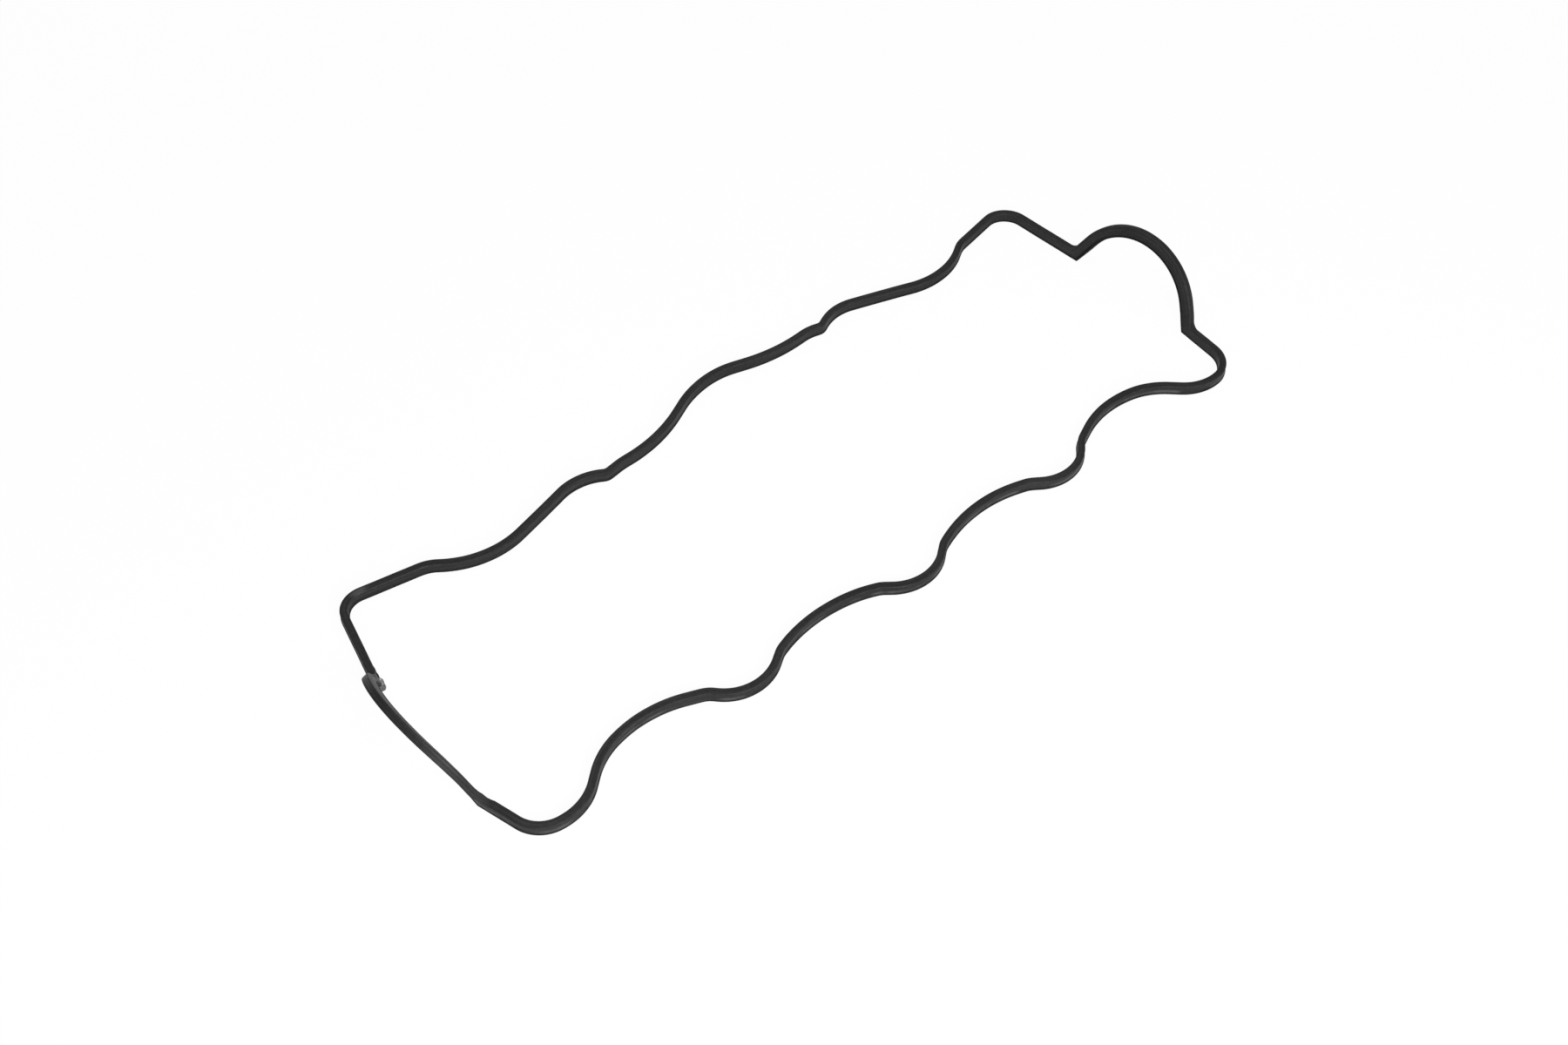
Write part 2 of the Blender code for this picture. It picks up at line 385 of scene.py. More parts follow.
@dataclass(frozen=True)
class MouldedOutline:
    """The gasket's outline as moulded, in plan, from the middle of the cover.

    A corner stands at a measured distance from a plug well's middle, the stud or the end line,
    and at another from its side's furthest reach. Its radius closes the row.
    """

    well_pitch: float = 84.0
    end_margin: float = 67.0
    front_reach: float = 67.3
    back_reach: float = 89.1
    stud_reach: float = 63.8
    half_moon_span: float = 65.8
    half_moon_middle: float = 3.9

    def right_front(self) -> list[Corner]:
        """Return the front side's right half: plug wells and the bolt lobes between them.

        Returns:
            The corners, from beside the middle lobe to the half-moon's front foot.
        """
        pitch = self.well_pitch
        front = -self.front_reach
        end_well = 1.5 * pitch
        end_line = end_well + self.end_margin
        return [
            Corner(17.3, front + 13.8, 12.1),
            Corner(pitch / 2, front + 24.1, 66.8),
            Corner(pitch - 15.1, front + 15.5, 12.4),
            Corner(pitch + 4.5, front + 2.0, 21.1),
            Corner(pitch + 19.2, front + 18.1, 12.9),
            Corner(end_well, front + 27.9, 50.5),
            Corner(end_well + 25.2, front + 22.3, 33.8),
            Corner(end_well + 43.0, front + 5.9, 22.9),
            Corner(end_line - 2.7, front + 7.8, 14.3),
            Corner(end_line, self.half_moon_middle - self.half_moon_span / 2, 0.0),
        ]

    def right_back(self) -> list[Corner]:
        """Return the back side's right half.

        Returns:
            The corners, from the half-moon's back foot past the stud to the bulge.
        """
        back = self.back_reach
        end_well = 1.5 * self.well_pitch
        end_line = end_well + self.end_margin
        return [
            Corner(end_line - 1.5, self.half_moon_middle + self.half_moon_span / 2, 0.0),
            Corner(end_line - 5.2, back - 3.0, 10.5),
            Corner(end_well + 26.0, back - 12.6, 16.2),
            Corner(end_well + 6.1, back - 26.6, 39.8),
            Corner(self.stud_reach + 11.3, back - 10.5, 25.7),
            Corner(self.stud_reach, back - 16.2, 4.5),
            Corner(self.stud_reach - 6.2, back - 14.2, 25.6),
            Corner(36.6, back - 14.9, 74.9),
        ]

    def left_shifts(self) -> dict[Corner, tuple[float, float]]:
        """Return how far the soft left end lies from the right one's mirror image.

        Returns:
            The shifts along x and y, by the right end's corner.
        """
        front = self.right_front()
        back = self.right_back()
        return {
            front[7]: (0.3, 0.8),
            front[8]: (1.4, 0.5),
            front[9]: (-4.0, -3.4),
            back[0]: (-7.7, -1.8),
            back[1]: (-2.4, -5.6),
            back[4]: (-1.8, 2.7),
            back[5]: (-2.2, 0.9),
        }

    def mirrored(self, corners: list[Corner]) -> list[Corner]:
        """Return the left end's counterparts of some corners.

        Args:
            corners: The right end's corners.

        Returns:
            The left end's, in the opposite order.
        """
        shifts = self.left_shifts()
        left = []
        for corner in reversed(corners):
            shift_x, shift_y = shifts.get(corner, (0.0, 0.0))
            left.append(Corner(shift_x - corner.x, corner.y + shift_y, corner.radius))
        return left

    def front(self) -> list[Corner]:
        """Return the front side's corners, from the left half-moon to the right one."""
        right = self.right_front()
        return self.mirrored(right) + [Corner(0.0, -self.front_reach, 21.8)] + right

    def back(self) -> list[Corner]:
        """Return the back side's corners, from the right half-moon to the left one."""
        right = self.right_back()
        return right + [Corner(0.0, self.back_reach, 43.4)] + self.mirrored(right)


@dataclass(frozen=True)
class RelaxedLie:
    """How the soft back side sways against the front one when the gasket lies unfitted."""

    half_span: float = 186.4
    start_y: float = -50.0
    full_y: float = 75.0
    limit: float = 1.2
    sway: float = 5.5
    second_sway: float = 0.9
    bow: float = -0.7

    def place(self, point: Vector) -> Vector:
        """Return where a point of the moulded outline comes to lie.

        Args:
            point: The point as moulded.

        Returns:
            The point on the surface where the gasket lies.
        """
        weight = (point.y - self.start_y) / (self.full_y - self.start_y)
        weight = min(max(weight, 0.0), self.limit)
        phase = math.pi * point.x / self.half_span
        sway = self.sway * math.sin(phase) + self.second_sway * math.sin(2 * phase)
        bow = self.bow * math.cos(phase / 2)
        return Vector((point.x, point.y + weight * (sway + bow), 0.0))


@dataclass(frozen=True)
class HalfMoon:
    """A half-moon: a round between two straight legs, which leans outwards and droops further."""

    lean: float
    droop: float = 0.0
    radius: float = 30.4
    height: float = 5.6
    leg_angle: float = math.radians(61.8)
    roll_length: float = 9.0

    def corners(self, half_span: float) -> list[Vector]:
        """Return the lower line's sharp corners, upright, with the first foot at the origin."""
        apex = Vector((half_span, 0.0, half_span * math.tan(self.leg_angle)))
        return [Vector((0.0, 0.0, 0.0)), apex, Vector((half_span * 2, 0.0, 0.0))]

    def rise(self, side: Vector, lean: float) -> Vector:
        """Return the direction that rises from the feet's line at a lean."""
        return UP * math.cos(lean) + side.cross(UP) * math.sin(lean)

    def laid(
        self, upright: list[Vector], foot: Vector, far_foot: Vector
    ) -> tuple[list[Vector], list[Vector]]:
        """Return an upright lower line as it leans and droops between its feet.

        Args:
            upright: The line in its own upright plane.
            foot: The foot where the line starts.
            far_foot: The foot where it ends.

        Returns:
            The line's points, and its outward normal at each of them.
        """
        side = (far_foot - foot).normalized()
        half_span = (far_foot - foot).length / 2
        path = []
        normals = []
        for point in upright:
            bend = self.droop * point.z / half_span
            path.append(foot + side * point.x + self.rise(side, self.lean + bend / 2) * point.z)
            normals.append(side.cross(self.rise(side, self.lean + bend)))
        return path, normals


@dataclass(frozen=True)
class FootFlash:
    """Ragged rubber on the inner lip by a foot: a flat tongue with a torn end, and small nibs.

    The stations give the distance past the foot and the reach there. A nib is given by where it
    stands past the foot, its reach and half its length.
    """

    stations: tuple = (
        (-12.0, 0.0), (-9.4, 0.3), (-7.6, 0.2), (-5.7, 0.5), (-4.4, 0.45), (-3.4, 1.0),
        (-2.4, 1.4), (-1.4, 1.1), (-0.6, 1.2), (0.2, 1.35), (0.7, 1.0), (1.1, 0.4), (1.2, 0.0),
    )
    tongue_length: float = 1.9
    tongue_end: float = 1.1
    nibs: tuple = ((5.6, 0.45, 0.9), (8.9, 0.35, 1.2))

    def reach(self, past: float) -> float:
        """Return how far the flash reaches inwards, in millimetres.

        Args:
            past: The distance past the foot, negative before it.

        Returns:
            The reach beyond the lip.
        """
        for (start, low), (end, high) in zip(self.stations, self.stations[1:]):
            if start <= past < end:
                return low + (high - low) * (past - start) / (end - start)
        nibs = [size * max(0.0, 1 - abs(past - at) / half) for at, size, half in self.nibs]
        return max(nibs)

    def shift(self, ring: Ring, foot: Vector, forward: Vector, past: float) -> Vector:
        """Return the lip's shift at a ring, with the tongue kept flat on the ground past the foot.

        Args:
            ring: The ring.
            foot: The foot.
            forward: The flat side's direction at the foot.
            past: The ring's distance past the foot, negative before it.

        Returns:
            The shift, in millimetres.
        """
        shift = ring.outward * -self.reach(past)
        if 0.0 < past < self.tongue_end:
            flat = foot + forward * self.tongue_length * past / self.tongue_end
            shift += flat - ring.bottom
        return shift


@dataclass
class GasketLine:
    """The closed line of rings that the section is carried along."""

    section: StripSection
    outline: MouldedOutline = field(default_factory=MouldedOutline)
    lie: RelaxedLie = field(default_factory=RelaxedLie)
    right_moon: HalfMoon = field(default_factory=lambda: HalfMoon(math.radians(13.6)))
    left_moon: HalfMoon = field(
        default_factory=lambda: HalfMoon(math.radians(11.1), math.radians(15.6))
    )
    flash: FootFlash = field(default_factory=FootFlash)
    flash_foot: int = 2
    flash_length: float = 14.0
    foot_fillet: float = 4.5
    foot_steps: int = 30
    fillet_share: float = 0.98
    fewest_arc_steps: int = 4
    approach_rings: int = 2
    step: float = 1.1

    def fitted_radii(self, points: list[Vector], radii: list[float]) -> list[float]:
        """Return the radii, made smaller where two rounds would not fit on their stretch.

        Args:
            points: The path's sharp corners.
            radii: The radius wished for at each of them.

        Returns:
            The radii that fit.
        """
        reaches = [0.0] * len(points)
        for i in range(1, len(points) - 1):
            turn = (points[i] - points[i - 1]).angle(points[i + 1] - points[i])
            reaches[i] = radii[i] * math.tan(turn / 2)
        shares = [1.0] * len(points)
        for i in range(len(points) - 1):
            room = self.fillet_share * (points[i + 1] - points[i]).length
            need = reaches[i] + reaches[i + 1]
            if need > room:
                shares[i] = min(shares[i], room / need)
                shares[i + 1] = min(shares[i + 1], room / need)
        return [radius * share for radius, share in zip(radii, shares)]

    def rounded_corner(
        self, before: Vector, corner: Vector, after: Vector, radius: float
    ) -> list[Vector]:
        """Return the points of the arc that rounds a corner.

        Args:
            before: The corner before it.
            corner: The corner.
            after: The corner after it.
            radius: The arc's radius.

        Returns:
            The arc's points, ends included.
        """
        incoming = (corner - before).normalized()
        outgoing = (after - corner).normalized()
        turn = incoming.angle(outgoing)
        start = corner - incoming * radius * math.tan(turn / 2)
        inward = (outgoing - incoming * incoming.dot(outgoing)).normalized()
        centre = start + inward * radius
        steps = max(self.fewest_arc_steps, math.ceil(radius * turn / self.step))
        points = []
        for i in range(steps + 1):
            angle = turn * i / steps
            offset = incoming * math.sin(angle) - inward * math.cos(angle)
            points.append(centre + offset * radius)
        return points

    def rounded_path(self, points: list[Vector], radii: list[float]) -> list[Vector]:
        """Return a path with sharp ends and rounded corners.

        Args:
            points: The ends and the sharp corners between them.
            radii: The radius at each of them.

        Returns:
            The path's points.
        """
        fitted = self.fitted_radii(points, radii)
        path = [points[0]]
        for i in range(1, len(points) - 1):
            path += self.rounded_corner(points[i - 1], points[i], points[i + 1], fitted[i])
        path.append(points[-1])
        return path

    def divided(self, path: list[Vector]) -> list[Vector]:
        """Return a path with points at least as close together as one step.

        Args:
            path: The path.

        Returns:
            Its points and the ones put between them.
        """
        points = [path[0]]
        for start, end in zip(path, path[1:]):
            steps = max(1, math.ceil((end - start).length / self.step))
            points += [start.lerp(end, i / steps) for i in range(1, steps + 1)]
        return points

    def kept(self, path: list[Vector], distance: float) -> list[int]:
        """Return which points of a path lie clear of its ends.

        Args:
            path: The path.
            distance: How far from an end they have to lie.

        Returns:
            Their places in the path.
        """
        limit = distance + self.step / 2
        places = []
        for i in range(1, len(path) - 1):
            if min((path[i] - path[0]).length, (path[i] - path[-1]).length) > limit:
                places.append(i)
        return places

    def set_back(self, path: list[Vector], distance: float) -> list[Vector]:
        """Return a path whose ends stop short of where they were.

        Args:
            path: The path.
            distance: How far short they stop.

        Returns:
            The shorter path.
        """
        first = path[0] + (path[1] - path[0]).normalized() * distance
        last = path[-1] + (path[-2] - path[-1]).normalized() * distance
        return [first] + [path[i] for i in self.kept(path, distance)] + [last]

    def direction(self, path: list[Vector], i: int) -> Vector:
        """Return the direction of travel at a point of a path."""
        return (path[min(i + 1, len(path) - 1)] - path[max(i - 1, 0)]).normalized()

    def mitre_shares(
        self, first: Vector, second: Vector, heights: tuple[float, float]
    ) -> tuple[float, float]:
        """Return how much of two upward directions leads to the corner of a mitre.

        Args:
            first: The first one, of unit length.
            second: The second one, of unit length.
            heights: How far the corner reaches along each of them.

        Returns:
            The length to go along each.
        """
        overlap = first.dot(second)
        scale = 1 - overlap * overlap
        first_share = (heights[0] - overlap * heights[1]) / scale
        second_share = (heights[1] - overlap * heights[0]) / scale
        return first_share, second_share

    def flat_rings(self, path: list[Vector], setback: float) -> list[Ring]:
        """Return the upright rings of a flat side.

        Args:
            path: Its ground line, from foot to foot.
            setback: How far from a sharp foot the bend ends.

        Returns:
            The rings between the two bends.
        """
        stretch = self.set_back(path, setback)
        rings = []
        for i, point in enumerate(stretch):
            outward = self.direction(stretch, i).cross(UP)
            rings.append(Ring(point, point + UP * self.section.height, outward))
        return rings

    def moon_rings(
        self, moon: HalfMoon, feet: list[Vector], sides: list[Vector], setback: float
    ) -> list[Ring]:
        """Return the rings of a half-moon, rolled from the flat sides' rings.

        Args:
            moon: The half-moon's sizes.
            feet: The foot where it starts and the one where it ends.
            sides: The flat sides' outward directions at the two feet.
            setback: How far from a sharp foot the bend ends.

        Returns:
            The rings between the two bends.
        """
        corners = moon.corners((feet[1] - feet[0]).length / 2)
        upright = self.divided(self.rounded_path(corners, [0.0, moon.radius, 0.0]))
        path, normals = moon.laid(upright, *feet)
        stretch = self.set_back(path, setback)
        normals = [normals[0]] + [normals[i] for i in self.kept(path, setback)] + [normals[-1]]
        rings = []
        for i, (point, normal) in enumerate(zip(stretch, normals)):
            reaches = [(point - foot).length for foot in feet]
            nearest = reaches.index(min(reaches))
            share = min(reaches[nearest] / moon.roll_length, 1.0)
            direction = self.direction(stretch, i)
            outward = sides[nearest].lerp(normal, eased(share))
            outward = (outward - direction * outward.dot(direction)).normalized()
            top = point + outward.cross(direction) * moon.height
            rings.append(Ring(point, top, outward, 1 - share))
        return rings

    def foot_rings(self, foot: Vector, before: Ring, after: Ring) -> list[Ring]:
        """Return the rings of a foot: a sharp bend below and a small round on top.

        Args:
            foot: The sharp corner of the lower line.
            before: The last ring before the bend.
            after: The first ring after it.

        Returns:
            The rings between the two.
        """
        flat = before if before.bottom.z < after.bottom.z else after
        rises = (before.top - before.bottom, after.top - after.bottom)
        first = rises[0].normalized()
        second = rises[1].normalized()
        shares = self.mitre_shares(first, second, (rises[0].length, rises[1].length))
        top_corner = foot + first * shares[0] + second * shares[1]
        rings = []
        for i in range(1, self.foot_steps):
            share = i / self.foot_steps
            near = before.top.lerp(top_corner, share)
            top = near.lerp(top_corner.lerp(after.top, share), share)
            if share < 0.5:
                bottom = before.bottom.lerp(foot, share * 2)
                outward = before.outward.lerp(flat.outward, share * 2).normalized()
            else:
                bottom = foot.lerp(after.bottom, share * 2 - 1)
                outward = flat.outward.lerp(after.outward, share * 2 - 1).normalized()
            inner_lip = before.inner_lip + (after.inner_lip - before.inner_lip) * share
            rings.append(Ring(bottom, top, outward, inner_lip))
        return rings

    def flashed(self, rings: list[Ring], foot: Vector) -> list[Ring]:
        """Return the rings with flash on the inner lip round one foot.

        Args:
            rings: All rings.
            foot: The foot.

        Returns:
            All rings, those near the foot with their flash.
        """
        foot_ring = min(range(len(rings)), key=lambda i: (rings[i].bottom - foot).length)
        forward = (foot - rings[foot_ring - self.approach_rings].bottom).normalized()
        done = []
        for i, ring in enumerate(rings):
            distance = (ring.bottom - foot).length
            if distance < self.flash_length:
                past = distance if i > foot_ring else -distance
                ring = ring._replace(flash=self.flash.shift(ring, foot, forward, past))
            done.append(ring)
        return done

    def setbacks(self, turn: float, moon: HalfMoon) -> tuple[float, float]:
        """Return how far from a sharp foot its bend ends.

        Args:
            turn: The angle by which the lower line turns at the foot.
            moon: The half-moon's sizes.

        Returns:
            The distance on the flat side and the one on the half-moon.
        """
        leaning = Vector((-math.sin(turn), 0.0, math.cos(turn)))
        shares = self.mitre_shares(UP, leaning, (self.section.height, moon.height))
        fillet = self.foot_fillet * math.tan(turn / 2)
        return shares[1] * math.sin(turn) + fillet, shares[0] * math.sin(turn) + fillet

    def flat_path(self, corners: list[Corner]) -> list[Vector]:
        """Return the ground line of a flat side, as it lies.

        Args:
            corners: The side's corners as moulded.

        Returns:
            The line's points.
        """
        points = [Vector((corner.x, corner.y, 0.0)) for corner in corners]
        path = self.rounded_path(points, [corner.radius for corner in corners])
        return [self.lie.place(point) for point in self.divided(path)]

    def rings(self) -> list[Ring]:
        """Return every ring of the closed strip.

        Returns:
            The rings, once round from the left front foot.
        """
        front = self.flat_path(self.outline.front())
        back = self.flat_path(self.outline.back())
        half_span = (back[0] - front[-1]).length / 2
        corners, _ = self.right_moon.laid(self.right_moon.corners(half_span), front[-1], back[0])
        turn = (front[-1] - front[-2]).angle(corners[1] - corners[0])
        flat_setback, moon_setback = self.setbacks(turn, self.right_moon)
        front_rings = self.flat_rings(front, flat_setback)
        back_rings = self.flat_rings(back, flat_setback)
        right_sides = [front_rings[-1].outward, back_rings[0].outward]
        left_sides = [back_rings[-1].outward, front_rings[0].outward]
        right = self.moon_rings(self.right_moon, [front[-1], back[0]], right_sides, moon_setback)
        left = self.moon_rings(self.left_moon, [back[-1], front[0]], left_sides, moon_setback)
        stretches = [front_rings, right, back_rings, left]
        feet = [front[-1], back[0], back[-1], front[0]]
        rings = []
        for i, (stretch, foot) in enumerate(zip(stretches, feet)):
            following = stretches[(i + 1) % len(stretches)]
            rings += stretch + self.foot_rings(foot, stretch[-1], following[0])
        return self.flashed(rings, feet[self.flash_foot])


@dataclass(frozen=True)
class RubberFinish:
    """Black moulded rubber: matte, streaked along the strip and worn at its upper edges, with
    painted shade at its foot, a painted highlight line above the lip and a pale mottled patch.
    """

    dark: tuple = (0.0046, 0.0046, 0.0049, 1.0)
    light: tuple = (0.0205, 0.0205, 0.0211, 1.0)
    bloom: tuple = (0.0700, 0.0700, 0.0710, 1.0)
    # The next colour is the pale grey of the mottled patch by the flashed foot.
    patch_grey: tuple = (0.1700, 0.1700, 0.1720, 1.0)
    torn: tuple = (0.5000, 0.5000, 0.5000, 1.0)
    # The next colour is a painted highlight, for the pale line on the outer wall above the lip.
    painted_highlight: tuple = (0.1050, 0.1050, 0.1060, 1.0)
    # The next colour is painted shade for the strip's foot and lip, standing in for the shadow
    # under the lip.
    painted_foot_shade: tuple = (0.0010, 0.0010, 0.0011, 1.0)
    roughness: float = 0.66
    roughness_swing: float = 0.16
    streak_gloss: float = 0.1
    foot_roughness: float = 0.3
    specular: float = 0.24
    noise_roughness: float = 0.55
    streak_length: float = 0.045
    streak_width: float = 0.0007
    streaks: Noise = Noise(1.0, 2.0, Band(0.40, 0.66))
    streak_share: float = 0.45
    speckles: Noise = Noise(1 / 0.0011, 3.0, Band(0.35, 0.70))
    speckle_share: float = 0.35
    clouds: Noise = Noise(1 / 0.030, 2.0, Band(0.38, 0.68))
    cloud_share: float = 0.35
    wear: Noise = Noise(260.0, 3.0, Band(0.45, 0.75))
    wear_across: Band = Band(0.62, 0.98)
    wear_height: Band = Band(0.80, 0.97)
    bloom_share: float = 0.22
    # Where the painted shade and the rougher foot fade out, as a share of the height.
    foot_height: Band = Band(0.15, 0.24)
    foot_shade_share: float = 0.9
    # The next five values break, place and weigh the painted highlight line on the outer wall
    # above the lip.
    highlight_breaks: Noise = Noise(60.0, 3.0, Band(0.42, 0.62))
    highlight_across: Band = Band(0.90, 0.98)
    highlight_bottom: Band = Band(0.20, 0.28)
    highlight_top: Band = Band(0.40, 0.60)
    highlight_share: float = 0.5
    border: float = 1.22
    border_cells: float = 900.0
    border_detail: float = 3.0
    border_swing: float = 0.35
    pale_fade: float = 0.8
    pale_share: float = 0.6
    patch_fade: float = 0.22
    mottle: Noise = Noise(700.0, 2.0, Band(0.35, 0.70))
    mottle_least: float = 0.45
    tears: Noise = Noise(1100.0, 1.0, Band(0.46, 0.56))
    fold: Band = Band(0.55, 0.9)
    grain_size: float = 0.00045
    grain_detail: float = 3.0
    grain_height: float = 0.00003
    bump_strength: float = 0.6
    streak_height: float = 0.6
    pale_patch_spot: Spot = Spot((-0.1925, 0.0236, 0.0020), (0.0040, 0.0042, 0.0044))
    pale: tuple[Spot, ...] = (
        Spot((-0.1755, -0.0500, 0.0050), (0.0034, 0.0044, 0.0016)),
        Spot((-0.1766, 0.0667, 0.0050), (0.0050, 0.0022, 0.0016)),
        Spot((-0.1880, -0.0330, 0.0050), (0.0030, 0.0060, 0.0016)),
    )

    def noise(self, graph: NodeGraph, vector: Input, cells: float, detail: float) -> Number:
        """Return a noise value.

        Args:
            graph: The shader's tree.
            vector: Where it is read.
            cells: How many cells fit in a metre, or in one unit of the vector.
            detail: How fine it goes.

        Returns:
            The noise, mostly from 0.3 to 0.7.
        """
        inputs = {
            "Vector": vector,
            "Scale": cells,
            "Detail": detail,
            "Roughness": self.noise_roughness,
        }
        return graph.number(graph.node("ShaderNodeTexNoise", None, inputs), "Fac")

    def pattern(self, graph: NodeGraph, vector: Input, look: Noise) -> Number:
        """Return how much of a pattern shows, from 0 to 1."""
        return self.noise(graph, vector, look.cells, look.detail).between(look.band)

    def attribute(self, graph: NodeGraph, name: Attribute) -> bpy.types.NodeSocket:
        """Return one of the strip's own vectors."""
        settings = {"attribute_name": name.value, "attribute_type": "GEOMETRY"}
        return graph.node("ShaderNodeAttribute", settings).outputs["Vector"]

    def mixed(
        self, graph: NodeGraph, share: Number, first: Input, second: Input
    ) -> bpy.types.NodeSocket:
        """Return a colour between two others.

        Args:
            graph: The shader's tree.
            share: The second colour's share.
            first: The first colour.
            second: The second colour.

        Returns:
            The colour.
        """
        settings = {"data_type": "RGBA", "blend_type": "MIX"}
        made = graph.node("ShaderNodeMix", settings, {0: share, 6: first, 7: second})
        return made.outputs[2]

    def within(
        self, graph: NodeGraph, place: bpy.types.NodeSocket, spot: Spot, fade: float
    ) -> Number:
        """Return how far inside a ragged spot the surface lies.

        Args:
            graph: The shader's tree.
            place: The surface's place.
            spot: The spot.
            fade: How wide its border fades out, as a share of its reach.

        Returns:
            1 inside the spot, falling to 0 across its border.
        """
        offset = graph.vector("SUBTRACT", place, spot.middle)
        scaled = graph.vector("DIVIDE", offset, spot.reach)
        length = graph.node("ShaderNodeVectorMath", {"operation": "LENGTH"}, {0: scaled})
        ragged = self.noise(graph, place, self.border_cells, self.border_detail)
        far = graph.number(length, "Value") + ragged * self.border_swing
        return 1.0 - far.between(Band(self.border - fade, self.border))

    def edged(
        self,
        graph: NodeGraph,
        place: bpy.types.NodeSocket,
        across: Number,
        height: Number,
        colour: bpy.types.NodeSocket,
    ) -> bpy.types.NodeSocket:
        """Return the colour with wear along the strip's upper edges, painted shade low down and a
        painted highlight line.

        Args:
            graph: The shader's tree.
            place: The surface's place.
            across: How far across the section it lies, from -1 inside to 1 outside.
            height: Its share of the strip's height.
            colour: The rubber's colour so far.

        Returns:
            The colour with pale worn upper edges, painted shade darkening the lower edge, and a
            broken painted highlight line above that.
        """
        edge = (across * across).between(self.wear_across) * height.between(self.wear_height)
        worn = edge * self.pattern(graph, place, self.wear)
        colour = self.mixed(graph, worn * self.bloom_share, colour, self.bloom)
        # Painted shade: the lowest part of the strip, round the lip, is darkened almost to black.
        foot = self.foot(height)
        colour = self.mixed(graph, foot * self.foot_shade_share, colour, self.painted_foot_shade)
        # Painted highlight: a broken pale line on the outer wall just above the lip, where light
        # would catch.
        line = height.between(self.highlight_bottom) * (1.0 - height.between(self.highlight_top))
        line = line * across.between(self.highlight_across) * self.pattern(graph, place, self.highlight_breaks)
        return self.mixed(graph, line * self.highlight_share, colour, self.painted_highlight)

    def foot(self, height: Number) -> Number:
        """Return how far down on the lower edge the surface lies, from 0 to 1."""
        return 1.0 - height.between(self.foot_height)

    def marred(
        self,
        graph: NodeGraph,
        place: bpy.types.NodeSocket,
        flash: Number,
        colour: bpy.types.NodeSocket,
    ) -> bpy.types.NodeSocket:
        """Return the colour with the marks that this one gasket carries.

        Args:
            graph: The shader's tree.
            place: The surface's place.
            flash: The flash's share in moving the surface there.
            colour: The rubber's colour so far.

        Returns:
            The colour with the pale spots, a pale grey mottled patch and the flash's torn fold.
        """
        for spot in self.pale:
            pale = self.within(graph, place, spot, self.pale_fade) * self.pale_share
            colour = self.mixed(graph, pale, colour, self.bloom)
        # A pale grey mottled patch round one spot by the flashed foot.
        patch = self.within(graph, place, self.pale_patch_spot, self.patch_fade)
        mottle = (1.0 - self.mottle_least) * self.pattern(graph, place, self.mottle)
        colour = self.mixed(graph, patch * (self.mottle_least + mottle), colour, self.patch_grey)
        fold = (4.0 * flash * (1.0 - flash)).between(self.fold)
        torn = patch * fold * self.pattern(graph, place, self.tears)
        return self.mixed(graph, torn, colour, self.torn)

    def material(self) -> bpy.types.Material:
        """Return the rubber as a material.

        Returns:
            The material, which reads the strip's own place, flow and section.
        """
        made = bpy.data.materials.new("moulded_rubber")
        made.use_nodes = True
        graph = NodeGraph(made.node_tree)
        place = graph.node("ShaderNodeTexCoord").outputs["Object"]
        flow = self.attribute(graph, Attribute.FLOW)
        stretch = (1 / self.streak_length, 1 / self.streak_length, 1 / self.streak_width)
        streaks = self.pattern(graph, graph.vector("MULTIPLY", flow, stretch), self.streaks)
        speckles = self.pattern(graph, place, self.speckles)
        clouds = self.pattern(graph, place, self.clouds)
        across, height, flash = graph.separated(self.attribute(graph, Attribute.SECTION))
        share = clouds * self.cloud_share + streaks * self.streak_share
        share = share + speckles * self.speckle_share
        colour = self.mixed(graph, share, self.dark, self.light)
        colour = self.edged(graph, place, across, height, colour)
        colour = self.marred(graph, place, flash, colour)
        roughness = self.roughness + self.roughness_swing * (clouds - 0.5)
        roughness = roughness - self.streak_gloss * streaks
        roughness = roughness + self.foot_roughness * self.foot(height)
        grain = self.noise(graph, place, 1 / self.grain_size, self.grain_detail)
        bump_inputs = {
            "Strength": self.bump_strength,
            "Distance": self.grain_height,
            "Height": grain + streaks * self.streak_height,
        }
        bump = graph.node("ShaderNodeBump", None, bump_inputs)
        inputs = {
            "Base Color": colour,
            "Roughness": roughness,
            "Specular IOR Level": self.specular,
            "Metallic": 0.0,
            "Normal": bump.outputs["Normal"],
        }
        surface = graph.node("ShaderNodeBsdfPrincipled", None, inputs)
        graph.node("ShaderNodeOutputMaterial", None, {"Surface": surface.outputs[0]})
        return made


